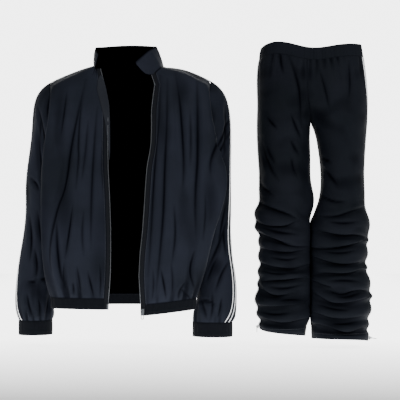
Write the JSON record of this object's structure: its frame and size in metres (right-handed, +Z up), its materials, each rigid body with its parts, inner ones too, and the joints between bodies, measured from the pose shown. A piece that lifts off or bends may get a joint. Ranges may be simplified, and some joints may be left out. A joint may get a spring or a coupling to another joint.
{
  "type": "tracksuit",
  "caption": "Zip jacket worn open over an empty chest, beside straight trousers ruched from knee to hem, with white piped side strips.",
  "frame": {"origin": "middle of the jacket's neck at the height of the shoulder points, where a wearer's neck and shoulders hold it", "axes": "+Z up, the garments face -Y, +X to the viewer's right"},
  "size_m": [1.0911, 0.2943, 0.8892],
  "materials": {
    "jacket_nylon": "smooth woven nylon, soft sheen, crinkled",
    "trouser_nylon": "smooth woven nylon, slightly darker, ruched",
    "elastic_band": "gathered elastic band",
    "white_piping": "white cord piping",
    "zip_tape": "woven zip tape",
    "zip_metal": "plated zip hardware"
  },
  "bodies": {
    "suit": {"jacket_sleeve_right_front": "jacket_nylon", "jacket_sleeve_right_back": "jacket_nylon", "jacket_sleeve_left_front": "jacket_nylon", "jacket_sleeve_left_back": "jacket_nylon", "jacket_front_right": "jacket_nylon", "jacket_zip_tape_right": "zip_tape", "jacket_front_left": "jacket_nylon", "jacket_zip_tape_left": "zip_tape", "jacket_back": "jacket_nylon", "jacket_strip_right": "jacket_nylon", "jacket_piping_right_front": "white_piping", "jacket_piping_right_back": "white_piping", "jacket_strip_left": "jacket_nylon", "jacket_piping_left_front": "white_piping", "jacket_piping_left_back": "white_piping", "jacket_cuff_right": "elastic_band", "jacket_cuff_left": "elastic_band", "jacket_hem_band": "elastic_band", "jacket_collar": "jacket_nylon", "jacket_zip_slider": "zip_metal", "jacket_zip_bail": "zip_metal", "jacket_zip_box": "zip_metal", "jacket_zip_pin": "zip_metal", "trousers_front_right": "trouser_nylon", "trousers_back_right": "trouser_nylon", "trousers_front_left": "trouser_nylon", "trousers_back_left": "trouser_nylon", "trousers_strip_right": "trouser_nylon", "trousers_ankle_zip_right": "zip_tape", "trousers_piping_right_front": "white_piping", "trousers_piping_right_back": "white_piping", "trousers_ankle_slider_right": "zip_metal", "trousers_ankle_bail_right": "zip_metal", "trousers_strip_left": "trouser_nylon", "trousers_ankle_zip_left": "zip_tape", "trousers_piping_left_front": "white_piping", "trousers_piping_left_back": "white_piping", "trousers_ankle_slider_left": "zip_metal", "trousers_ankle_bail_left": "zip_metal", "trousers_waistband": "elastic_band"},
    "jacket_zip_pull": {"jacket_zip_pull": "zip_metal"},
    "ankle_pull_right": {"trousers_ankle_pull_right": "zip_metal"},
    "ankle_pull_left": {"trousers_ankle_pull_left": "zip_metal"}
  },
  "joints": [
    {"name": "jacket_pull_hinge", "type": "hinge", "parent": "suit", "child": "jacket_zip_pull", "pos_m": [0.0484, -0.14806, -0.726], "axis": [1, 0, 0], "range_deg": [-170, 0]},
    {"name": "ankle_pull_hinge_right", "type": "hinge", "parent": "suit", "child": "ankle_pull_right", "pos_m": [0.38664, 0, -0.781], "axis": [0, -1, 0], "range_deg": [-165, 0]},
    {"name": "ankle_pull_hinge_left", "type": "hinge", "parent": "suit", "child": "ankle_pull_left", "pos_m": [0.72785, 0, -0.815], "axis": [0, 1, 0], "range_deg": [-85, 80]}
  ]
}
